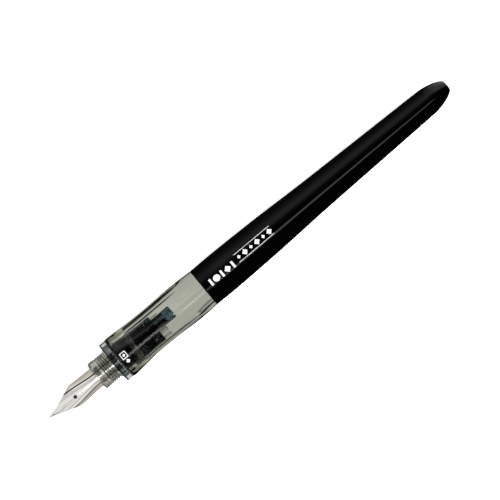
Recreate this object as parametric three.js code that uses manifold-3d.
// A cartridge-fed dip-style fountain pen: a clear smoke grip with three finger flats, a threaded nib housing,
// a steel nib on a black feed, an ink nipple, and a long black barrel that screws on and stores one ink cartridge.
// Millimetres. The pen lies along X with the nib towards -X and +Z up. Inside this file x is measured back from
// the nib's tip, and the group at the end puts the origin under the middle of the pen.
import * as THREE from "three";
import { mergeVertices } from "three/addons/utils/BufferGeometryUtils.js";
import Module from "manifold-3d";

const wasm = await Module();
wasm.setup();

// ---------------------------------------------------------------- driving dimensions
const PEN_LENGTH = 150;
const AROUND = 36; // sides of a round piece, one of them facing straight down
const FLAT_NORMALS = [30, 150, 270]; // where the three finger flats face, in degrees from +Y towards +Z

// Places along the pen.
const NOSE_X = 17.85; // front of the nib housing
const CAP_THREAD_X = 20.1; // rear of the plain land, where the cap thread starts
const FLANGE_X = 24.15;
const COLLAR_X = 24.6; // front of the clear ring behind the flange
const GRIP_X = 26.1; // front of the grip shell, behind the clear ring
const WIDEST_X = 27; // where the grip shell is widest
const BARREL_X = 58.15; // front of the barrel
const SHOULDER_X = 58.1; // the grip shell's step that the barrel meets
const SPIGOT_END_X = 66.3; // rear of the grip shell's threaded spigot

// Radii.
const FLANGE_R = 6.7;
const COLLAR_R = 6.58;
const GRIP_BORE_R = 4.25;
const HOUSING_R = 4.0;
const NOSE_R = 4.5;
const NOSE_BORE_R = 3.42;
const NIB_R = 3.25;
const NIPPLE_R = 1.3;
const CARTRIDGE_R = 3.75;

// Barrel thread: a right-hand trapezoid, one start.
const BARREL_PITCH = 1.5;
const BARREL_TURNS = 4;
const MALE_START_X = SHOULDER_X + 0.9;
const FEMALE_START_X = BARREL_X + 1.3;
const MALE_ROOT_R = 4.85;
const MALE_CREST_R = 5.2;
const FEMALE_CREST_R = 4.98;
const FEMALE_ROOT_R = 5.35;
const RIDGE = { root: 0.75, crest: 0.35 }; // widths of either ridge, along the pen

const COLOURS = {
  smoke: { color: 0x8f958a, roughness: 0.12, metalness: 0, transparent: true, opacity: 0.5 },
  darkSmoke: { color: 0x2c3336, roughness: 0.2, metalness: 0, transparent: true, opacity: 0.8 },
  blackGloss: { color: 0x060606, roughness: 0.1, metalness: 0 },
  feedBlack: { color: 0x0d0d0f, roughness: 0.45, metalness: 0 },
  steel: { color: 0xd9d8d2, roughness: 0.18, metalness: 1 },
  alloy: { color: 0xb9b9b6, roughness: 0.3, metalness: 1 },
  milky: { color: 0xe4e6e4, roughness: 0.4, metalness: 0, transparent: true, opacity: 0.6 },
  ink: { color: 0x07070c, roughness: 0.05, metalness: 0 },
};

// ---------------------------------------------------------------- solids and booleans
function toSolid(geometry) {
  const bare = geometry.index ? geometry.toNonIndexed() : geometry.clone();
  bare.deleteAttribute("normal");
  bare.deleteAttribute("uv");
  const merged = mergeVertices(bare, 1e-4);
  return new wasm.Manifold(
    new wasm.Mesh({
      numProp: 3,
      vertProperties: merged.attributes.position.array,
      triVerts: new Uint32Array(facingOut(merged)),
    }),
  );
}

// The triangles of a closed surface, without any that have shrunk to a line, turned to face out.
function facingOut(geometry) {
  const position = geometry.attributes.position;
  const corners = [new THREE.Vector3(), new THREE.Vector3(), new THREE.Vector3()];
  const index = [];
  let six = 0;
  for (let i = 0; i < geometry.index.count; i += 3) {
    const face = [0, 1, 2].map((k) => geometry.index.getX(i + k));
    if (new Set(face).size < 3) continue;
    face.forEach((vertex, k) => corners[k].fromBufferAttribute(position, vertex));
    six += corners[0].dot(corners[1].clone().cross(corners[2]));
    index.push(...face);
  }
  return six < 0 ? index.reverse() : index;
}

function toGeometry(solid) {
  const mesh = solid.getMesh();
  const positions = new Float32Array(mesh.numVert * 3);
  for (let i = 0; i < mesh.numVert; i++) {
    positions.set(mesh.vertProperties.subarray(i * mesh.numProp, i * mesh.numProp + 3), i * 3);
  }
  return new THREE.BufferGeometry()
    .setAttribute("position", new THREE.BufferAttribute(positions, 3))
    .setIndex(new THREE.BufferAttribute(mesh.triVerts, 1));
}

// ---------------------------------------------------------------- shapes
// A point on a ring round the pen's axis. The angle runs from +Y towards +Z.
function onAxisRing(x, radius, angle) {
  return new THREE.Vector3(x, radius * Math.cos(angle), radius * Math.sin(angle));
}

// One closed surface through equal rings of points. A loop joins the last ring to the first, as in a tube's wall.
// Otherwise each end is closed: with a fan to its middle, or, for a bent sheet, with a strip between its two faces.
function skin(rings, ends = "fan") {
  const count = rings[0].length;
  const points = rings.flat();
  const index = [];
  const spans = ends === "loop" ? rings.length : rings.length - 1;
  for (let i = 0; i < spans; i++) {
    const here = i * count;
    const next = ((i + 1) % rings.length) * count;
    for (let j = 0; j < count; j++) {
      const k = (j + 1) % count;
      index.push(here + j, next + j, next + k, here + j, next + k, here + k);
    }
  }
  const last = (rings.length - 1) * count;
  if (ends === "strip") {
    for (let j = 0; j < count / 2 - 1; j++) {
      const [a, b, c, d] = [j, j + 1, count - 2 - j, count - 1 - j];
      index.push(a, b, c, a, c, d);
      index.push(last + a, last + c, last + b, last + a, last + d, last + c);
    }
  }
  if (ends === "fan") {
    const [front, rear] = [points.length, points.length + 1];
    points.push(middleOf(rings[0]), middleOf(rings.at(-1)));
    for (let j = 0; j < count; j++) {
      const k = (j + 1) % count;
      index.push(front, j, k, rear, last + k, last + j);
    }
  }
  return new THREE.BufferGeometry().setFromPoints(points).setIndex(index);
}

function middleOf(ring) {
  return ring.reduce((sum, p) => sum.add(p), new THREE.Vector3()).divideScalar(ring.length);
}

// A turned piece from its outline of [x, radius] points, which starts and ends on the axis or runs round a ring.
function turned(outline, around = AROUND) {
  const profile = outline.map(([x, r]) => new THREE.Vector2(r, x));
  if (outline[0][1] > 0) profile.push(profile[0].clone());
  const geometry = new THREE.LatheGeometry(profile, around, Math.PI / 2 + Math.PI / around);
  return geometry.rotateZ(-Math.PI / 2);
}

// A helical ridge wound on radius rootR up, or down, to crestR. It sinks a little into its wall.
function helixRidge({ x, turns, pitch, rootR, crestR, widths, phase = 0, steps = 24 }) {
  const sink = 0.1 * Math.sign(rootR - crestR);
  const runOut = 0.5; // turns over which the ridge rises at each end
  const rings = [];
  const total = Math.round(turns * steps);
  for (let i = 0; i <= total; i++) {
    const turn = i / steps;
    const rise = Math.min(1, Math.min(turn, turns - turn) / runOut + 0.15);
    const middle = x + turn * pitch;
    const angle = phase + turn * 2 * Math.PI;
    const crest = rootR + (crestR - rootR) * rise;
    rings.push([
      onAxisRing(middle - widths.root / 2, rootR + sink, angle),
      onAxisRing(middle - widths.crest / 2, crest, angle),
      onAxisRing(middle + widths.crest / 2, crest, angle),
      onAxisRing(middle + widths.root / 2, rootR + sink, angle),
    ]);
  }
  return skin(rings);
}

// A box between two corners.
function block([x0, y0, z0], [x1, y1, z1]) {
  return new THREE.BoxGeometry(x1 - x0, y1 - y0, z1 - z0).translate(
    (x0 + x1) / 2,
    (y0 + y1) / 2,
    (z0 + z1) / 2,
  );
}

// A smooth function of x through a few [x, value] points.
function curveThrough(points) {
  const slope = (a, b) => (b[1] - a[1]) / (b[0] - a[0]);
  const tangents = points.map((p, i) => {
    if (i === 0 || i === points.length - 1) return 0;
    const [before, after] = [slope(points[i - 1], p), slope(p, points[i + 1])];
    return before * after <= 0 ? 0 : (2 * before * after) / (before + after);
  });
  tangents[0] = slope(points[0], points[1]);
  tangents[points.length - 1] = slope(points.at(-2), points.at(-1));
  return (x) => {
    if (x <= points[0][0]) return points[0][1];
    if (x >= points.at(-1)[0]) return points.at(-1)[1];
    const i = points.findIndex((p) => p[0] > x) - 1;
    const width = points[i + 1][0] - points[i][0];
    const t = (x - points[i][0]) / width;
    const [t2, t3] = [t * t, t * t * t];
    return (
      (2 * t3 - 3 * t2 + 1) * points[i][1] +
      (t3 - 2 * t2 + t) * width * tangents[i] +
      (3 * t2 - 2 * t3) * points[i + 1][1] +
      (t3 - t2) * width * tangents[i + 1]
    );
  };
}

// ---------------------------------------------------------------- grip shell
const gripRadius = curveThrough([
  [GRIP_X, 6.55],
  [26.5, 6.73],
  [WIDEST_X, 6.77],
  [29, 6.67],
  [36, 6.35],
  [41, 6.3],
  [50, 6.5],
  [54, 6.4],
  [SHOULDER_X, 6.22],
]);
const gripFlat = curveThrough([
  [26.5, 7.1],
  [29.6, 6.13],
  [33, 5.5],
  [37.4, 5.12],
  [44.7, 5.24],
  [49.3, 5.7],
  [54, 6.3],
  [SHOULDER_X, 6.9],
]);
const CORNER_POWER = 40; // how tightly a flat blends into the round

// The round of the grip, pared down to its three finger flats.
function gripOutline(x, angle) {
  const round = gripRadius(x);
  let sum = round ** -CORNER_POWER;
  for (const normal of FLAT_NORMALS) {
    const away = Math.cos(angle - THREE.MathUtils.degToRad(normal));
    if (away > 0.1) sum += (gripFlat(x) / away) ** -CORNER_POWER;
  }
  return Math.min(round, sum ** (-1 / CORNER_POWER));
}

function ringOf(x, radiusAt, around = AROUND) {
  return Array.from({ length: around }, (_, i) => {
    const angle = ((i + 0.5) / around) * 2 * Math.PI;
    return onAxisRing(x, radiusAt(angle), angle);
  });
}

function gripShell() {
  const stations = [GRIP_X, 26.5, WIDEST_X, 28, 29.6, 31.3, 33, 35, 37.4, 40, 44.7, 47, 49.3, 51.6, 54, 56, SHOULDER_X];
  const spigot = [
    [SHOULDER_X, MALE_ROOT_R],
    [SPIGOT_END_X - 0.4, MALE_ROOT_R],
    [SPIGOT_END_X, MALE_ROOT_R - 0.3],
    [SPIGOT_END_X, GRIP_BORE_R],
    [GRIP_X, GRIP_BORE_R],
  ];
  const rings = [
    ...stations.map((x) => ringOf(x, (angle) => gripOutline(x, angle))),
    ...spigot.map(([x, r]) => ringOf(x, () => r)),
  ];
  const thread = helixRidge({
    x: MALE_START_X,
    turns: BARREL_TURNS,
    pitch: BARREL_PITCH,
    rootR: MALE_ROOT_R,
    crestR: MALE_CREST_R,
    widths: RIDGE,
  });
  return toSolid(skin(rings, "loop")).add(toSolid(thread));
}

// ---------------------------------------------------------------- nib housing
const SLEEVE_END_X = 40.4;
const STEP_END_X = 43;
const CAP_THREAD = { pitch: 0.8, turns: 4, rootR: 4.25, crestR: 4.6 };
const END_WALL_X = 38.6; // where the sleeve's bore closes down to the nipple's hole

function nibHousing() {
  const sleeve = turned([
    [NOSE_X, NOSE_BORE_R],
    [28.2, NOSE_BORE_R],
    [28.2, 3.1],
    [END_WALL_X, 3.1],
    [END_WALL_X, NIPPLE_R + 0.08],
    [STEP_END_X, NIPPLE_R + 0.08],
    [STEP_END_X, 2.6],
    [SLEEVE_END_X, 2.6],
    [SLEEVE_END_X, HOUSING_R],
    [28, HOUSING_R],
    [28, GRIP_BORE_R - 0.05],
    [COLLAR_X - 0.03, GRIP_BORE_R - 0.05],
    [COLLAR_X - 0.03, FLANGE_R],
    [FLANGE_X + 0.12, FLANGE_R],
    [FLANGE_X, FLANGE_R - 0.12],
    [FLANGE_X, 4.75],
    [FLANGE_X - 0.5, 4.75],
    [FLANGE_X - 0.5, CAP_THREAD.rootR],
    [CAP_THREAD_X, CAP_THREAD.rootR],
    [CAP_THREAD_X, NOSE_R],
    [NOSE_X + 0.35, NOSE_R],
    [NOSE_X, NOSE_R - 0.3],
  ]);
  const thread = helixRidge({
    ...CAP_THREAD,
    x: CAP_THREAD_X + 0.25,
    widths: { root: 0.6, crest: 0.16 },
    steps: 20,
  });
  const guideTab = block([SLEEVE_END_X - 0.3, -3.6, -0.6], [42.8, -2.95, 0.6]);
  return toSolid(sleeve).add(toSolid(thread)).add(toSolid(guideTab));
}

// The clear ring between the housing's flange and the grip shell.
function collarRing() {
  return toSolid(
    turned([
      [COLLAR_X, GRIP_BORE_R],
      [GRIP_X - 0.03, GRIP_BORE_R],
      [GRIP_X - 0.03, COLLAR_R - 0.15],
      [GRIP_X - 0.25, COLLAR_R],
      [COLLAR_X, COLLAR_R],
    ]),
  );
}

// The tube that the cartridge is pushed onto, with a collar that seats inside the housing.
function inkNipple() {
  const [bore, collar, rear] = [0.88, 2.6, 47];
  return toSolid(
    turned(
      [
        [END_WALL_X - 0.65, bore],
        [rear, bore],
        [rear, NIPPLE_R - 0.15],
        [rear - 0.4, NIPPLE_R],
        [END_WALL_X - 0.03, NIPPLE_R],
        [END_WALL_X - 0.03, collar],
        [END_WALL_X - 0.65, collar],
      ],
      24,
    ),
  );
}

// ---------------------------------------------------------------- nib
const NIB = {
  front: 0.55, // the tines end here, behind the tipping
  rear: 27.5,
  thickness: 0.3,
  breatherX: 9.5,
  breatherR: 0.55,
  slit: 0.12,
};
// Height of the nib's ridge over the pen's axis.
const nibRidge = (x) => NIB_R - 0.0035 * Math.max(0, 15 - x) ** 2.11;
// Developed half-width of the sheet, from the ridge to its edge.
const nibHalfWidth = curveThrough([
  [0, 0.2],
  [2, 0.72],
  [5, 1.82],
  [8.2, 3.2],
  [9.2, 4],
  [10.2, 4.55],
  [14, 4.75],
  [NIB.rear, 4.7],
]);
// The sheet is a broad arc over the ridge with tighter arcs down its sides; at the rear both are the pen's round.
const nibCrownRadius = curveThrough([
  [0, 9],
  [8, 7],
  [12, 4.6],
  [17, NIB_R],
  [NIB.rear, NIB_R],
]);
const nibSideRadius = curveThrough([
  [0, 1.6],
  [8, 1.6],
  [12, 2.5],
  [17, NIB_R],
  [NIB.rear, NIB_R],
]);
const nibCrownHalf = curveThrough([
  [0, 0.2],
  [7.5, 2.35],
  [10, 2.3],
  [17, 1.4],
  [NIB.rear, 1.4],
]);

// A point of the sheet: s along the section from the ridge, depth down from the outer face.
function nibPoint(x, s, depth) {
  const side = Math.sign(s) || 1;
  const along = Math.abs(s);
  const crown = nibCrownRadius(x);
  const flank = nibSideRadius(x);
  const half = nibCrownHalf(x);
  const turnAtHalf = half / crown;
  const onCrown = Math.min(along, half);
  let y = crown * Math.sin(onCrown / crown);
  let z = nibRidge(x) - crown * (1 - Math.cos(onCrown / crown));
  let lean = onCrown / crown;
  if (along > half) {
    lean = Math.min(Math.PI / 2, turnAtHalf + (along - half) / flank);
    y += flank * (Math.sin(lean) - Math.sin(turnAtHalf));
    z -= flank * (Math.cos(turnAtHalf) - Math.cos(lean));
    z -= Math.max(0, along - half - flank * (Math.PI / 2 - turnAtHalf));
  }
  return new THREE.Vector3(x, side * (y - depth * Math.sin(lean)), z - depth * Math.cos(lean));
}

function nibSheet() {
  const across = 14; // steps from one edge to the other
  const stations = [NIB.front, 2, 3.5, 5, 6.5, 7.5, 8.4, 9.2, 10.2, 11.5, 13, 15, 17, 20, NIB.rear];
  const rings = stations.map((x) => {
    const edge = nibHalfWidth(x);
    const at = Array.from({ length: across + 1 }, (_, i) => edge * ((2 * i) / across - 1));
    return [
      ...at.map((s) => nibPoint(x, s, 0)),
      ...at.reverse().map((s) => nibPoint(x, s, NIB.thickness)),
    ];
  });
  const breather = new THREE.CylinderGeometry(NIB.breatherR, NIB.breatherR, 4, 20)
    .rotateX(Math.PI / 2)
    .translate(NIB.breatherX, 0, 3);
  const slit = block([-1, -NIB.slit / 2, 0], [NIB.breatherX, NIB.slit / 2, 6]);
  return toSolid(skin(rings, "strip")).subtract(toSolid(breather)).subtract(toSolid(slit));
}

// One half of the hard pellet welded to the tines, side +1 or -1.
function tipping(side) {
  const ball = new THREE.SphereGeometry(0.25, 14, 10).scale(1.05, 0.95, 1);
  ball.translate(0.265, 0, nibRidge(0) - 0.12);
  const gap = NIB.slit / 2;
  const half = side > 0 ? block([-1, gap, 0], [2, 2, 4]) : block([-1, -2, 0], [2, -gap, 4]);
  return toSolid(ball).intersect(toSolid(half));
}

// ---------------------------------------------------------------- feed
const FEED = {
  front: 4.6,
  combX: 28.6,
  combEnd: 34.6,
  fins: 7,
  tailX: 37.7,
  tailEnd: 44.2,
  tailR: 0.72,
  halfWidth: 2.84, // under the nib
  bodyR: 2.95, // behind the nib
};
const FEED_UNDER_NIB = NIB.thickness + 0.08;
const feedHalfWidth = curveThrough([
  [FEED.front, 0.35],
  [8, 1.5],
  [12, 2.3],
  [17, FEED.halfWidth],
  [FEED.combX, FEED.halfWidth],
]);
const feedDepth = curveThrough([
  [FEED.front, 0.4],
  [8, 2.2],
  [12, 3.9],
  [16.5, 5.6],
  [FEED.combX, 5.75],
]);

// The part of the feed that carries the nib: its top lies under the sheet and its belly deepens towards the rear.
function feedNose() {
  const stations = [FEED.front, 6, 8, 10, 12, 14, 16.5, 20, FEED.combX];
  const half = 9; // points over the top, and again under the belly
  return skin(
    stations.map((x) => {
      const width = feedHalfWidth(x);
      const top = nibRidge(x) - FEED_UNDER_NIB;
      const crown = NIB_R - FEED_UNDER_NIB;
      const edgeZ = top - crown + Math.sqrt(crown ** 2 - width ** 2);
      const over = Array.from({ length: half }, (_, i) => {
        const y = width * Math.cos((i / half) * Math.PI);
        return new THREE.Vector3(x, y, top - crown + Math.sqrt(crown ** 2 - y ** 2));
      });
      const under = Array.from({ length: half }, (_, i) => {
        const angle = Math.PI + (i / half) * Math.PI;
        const belly = Math.max(0.1, feedDepth(x) - (top - edgeZ));
        return new THREE.Vector3(x, width * Math.cos(angle), edgeZ + belly * Math.sin(angle));
      });
      return [...over, ...under];
    }),
  );
}

// The turned rear of the feed: air fins, a plain land and the tail that runs into the nipple.
function feedComb() {
  const pitch = (FEED.combEnd - FEED.combX) / FEED.fins;
  const [core, slot] = [1.7, 0.36];
  const outline = [
    [FEED.combX - 0.2, 0],
    [FEED.combX - 0.2, FEED.bodyR - 0.2],
  ];
  for (let i = 1; i <= FEED.fins; i++) {
    const x = FEED.combX + i * pitch;
    outline.push([x - slot, FEED.bodyR], [x - slot, core], [x, core], [x, FEED.bodyR]);
  }
  outline.push(
    [FEED.tailX, FEED.bodyR],
    [FEED.tailX, FEED.tailR],
    [FEED.tailEnd - 0.4, FEED.tailR],
    [FEED.tailEnd, FEED.tailR - 0.25],
    [FEED.tailEnd, 0],
  );
  return turned(outline, 24);
}

function feed() {
  const channel = block([FEED.front - 1, -0.2, 1.6], [FEED.tailX - 0.6, 0.2, 5]);
  const bellySlots = [11.2, 12.4, 13.6, 14.8, 16].map((x) => block([x, -4, -5], [x + 0.35, 4, -0.3]));
  let solid = toSolid(feedNose()).add(toSolid(feedComb()));
  for (const cut of [channel, ...bellySlots]) solid = solid.subtract(toSolid(cut));
  return solid;
}

// ---------------------------------------------------------------- barrel
const TAIL_X = 142; // where the barrel starts to round off
const TAIL_FACE_R = 1.45;
const TAIL_ROUNDING = 1.72; // power of the rounding: 2 would be an ellipse
const barrelTaper = curveThrough([
  [BARREL_X, 6.22],
  [65, 6.3],
  [80, 6.06],
  [100, 5.31],
  [120, 4.79],
  [TAIL_X, 4.25],
]);

function barrelRadius(x) {
  if (x <= TAIL_X) return barrelTaper(x);
  const share = Math.min(1, (x - TAIL_X) / (PEN_LENGTH - TAIL_X)) ** TAIL_ROUNDING;
  return TAIL_FACE_R + (barrelTaper(TAIL_X) - TAIL_FACE_R) * (1 - share) ** (1 / TAIL_ROUNDING);
}
// How far the faces between the three long ridges are pared down, as a share of the radius.
const barrelParing = curveThrough([
  [BARREL_X, 0],
  [80, 0.02],
  [TAIL_X, 0.05],
  [PEN_LENGTH, 0.16],
]);
const RIDGE_SOFTNESS = 0.25;

function barrelOutline(x, angle) {
  const wave = Math.sin(1.5 * (angle - Math.PI / 2));
  const paring = Math.hypot(wave, RIDGE_SOFTNESS) - RIDGE_SOFTNESS;
  return barrelRadius(x) * (1 - barrelParing(x) * paring);
}

function barrel() {
  const outside = [BARREL_X, 61, 65, 72, 80, 90, 100, 110, 120, 131, TAIL_X, 144, 146, 147.6, 148.8, 149.6, PEN_LENGTH];
  const inside = [
    [141, 0.8],
    [140.6, 2.5],
    [115.2, 3.1],
    [114.6, 3.95],
    [69, 4.35],
    [68, 4.35],
    [67.2, FEMALE_ROOT_R],
    [BARREL_X + 0.3, FEMALE_ROOT_R],
    [BARREL_X, FEMALE_ROOT_R + 0.2],
  ];
  const shell = skin(outside.map((x) => ringOf(x, (angle) => barrelOutline(x, angle))));
  const bore = skin([
    ...inside.map(([x, r]) => ringOf(x, () => r)),
    ringOf(BARREL_X - 2, () => FEMALE_ROOT_R + 0.2),
  ]);
  const thread = helixRidge({
    x: FEMALE_START_X,
    turns: BARREL_TURNS,
    pitch: BARREL_PITCH,
    rootR: FEMALE_ROOT_R,
    crestR: FEMALE_CREST_R,
    widths: RIDGE,
    phase: ((FEMALE_START_X - MALE_START_X) / BARREL_PITCH - 0.5) * 2 * Math.PI,
  });
  return toSolid(shell).subtract(toSolid(bore)).add(toSolid(thread));
}

// ---------------------------------------------------------------- cartridge
const CARTRIDGE = { front: 60.3, rear: 113.6, wall: 0.55, mouthR: 2.62, neckR: 3.15 };

function cartridgeBody() {
  const { front, rear, wall, mouthR, neckR } = CARTRIDGE;
  return toSolid(
    turned([
      [rear - wall, 0],
      [rear - wall, 2.6],
      [rear - wall - 0.6, CARTRIDGE_R - wall],
      [front + 6.4, CARTRIDGE_R - wall],
      [front + 5.2, mouthR],
      [front + 0.4, mouthR],
      [front + 0.4, neckR],
      [front + 4.4, neckR],
      [front + 5.4, CARTRIDGE_R],
      [rear - 1, CARTRIDGE_R],
      [rear - 0.3, 3.4],
      [rear, 2.7],
      [rear, 0],
    ]),
  );
}

function cartridgeMouthRing() {
  const { front, mouthR, neckR } = CARTRIDGE;
  return toSolid(
    turned(
      [
        [front, NIPPLE_R + 0.1],
        [front + 5, NIPPLE_R + 0.1],
        [front + 5, mouthR - 0.06],
        [front + 0.37, mouthR - 0.06],
        [front + 0.37, neckR],
        [front, neckR],
      ],
      24,
    ),
  );
}

function cartridgeSealDisc() {
  const [x, r, thickness] = [CARTRIDGE.front + 4, NIPPLE_R + 0.05, 0.7];
  const outline = [
    [x, 0],
    [x, r],
    [x + thickness, r],
    [x + thickness, 0],
  ];
  return toSolid(turned(outline, 24));
}

// The ink as it lies in the cartridge: a round filled to a level surface.
function inkCharge() {
  const { front, rear, wall } = CARTRIDGE;
  const radius = CARTRIDGE_R - wall - 0.08;
  const round = turned(
    [
      [front + 6.6, 0],
      [front + 6.6, radius],
      [rear - wall - 0.7, radius],
      [rear - wall - 0.7, 0],
    ],
    24,
  );
  const level = 1.6;
  const above = block([front, -5, level], [rear, 5, 6]);
  return toSolid(round).subtract(toSolid(above));
}

// ---------------------------------------------------------------- assembly
const pen = new THREE.Group();
const lowestSide = gripRadius(WIDEST_X) * Math.cos(Math.PI / AROUND);
pen.position.set(-PEN_LENGTH / 2, 0, lowestSide);

function addPiece(name, solid, colour) {
  const mesh = new THREE.Mesh(toGeometry(solid), new THREE.MeshStandardMaterial(colour));
  mesh.name = name;
  pen.add(mesh);
}

addPiece("grip_shell", gripShell(), COLOURS.smoke);
addPiece("nib_housing", nibHousing(), COLOURS.smoke);
addPiece("collar_ring", collarRing(), COLOURS.milky);
addPiece("ink_nipple", inkNipple(), COLOURS.darkSmoke);
addPiece("nib", nibSheet(), COLOURS.steel);
addPiece("nib_tipping_left", tipping(1), COLOURS.alloy);
addPiece("nib_tipping_right", tipping(-1), COLOURS.alloy);
addPiece("feed", feed(), COLOURS.feedBlack);
addPiece("barrel", barrel(), COLOURS.blackGloss);
addPiece("cartridge_body", cartridgeBody(), COLOURS.milky);
addPiece("cartridge_mouth_ring", cartridgeMouthRing(), COLOURS.milky);
addPiece("cartridge_seal_disc", cartridgeSealDisc(), COLOURS.milky);
addPiece("ink_charge", inkCharge(), COLOURS.ink);

const model = new THREE.Group();
model.add(pen);
export default model;
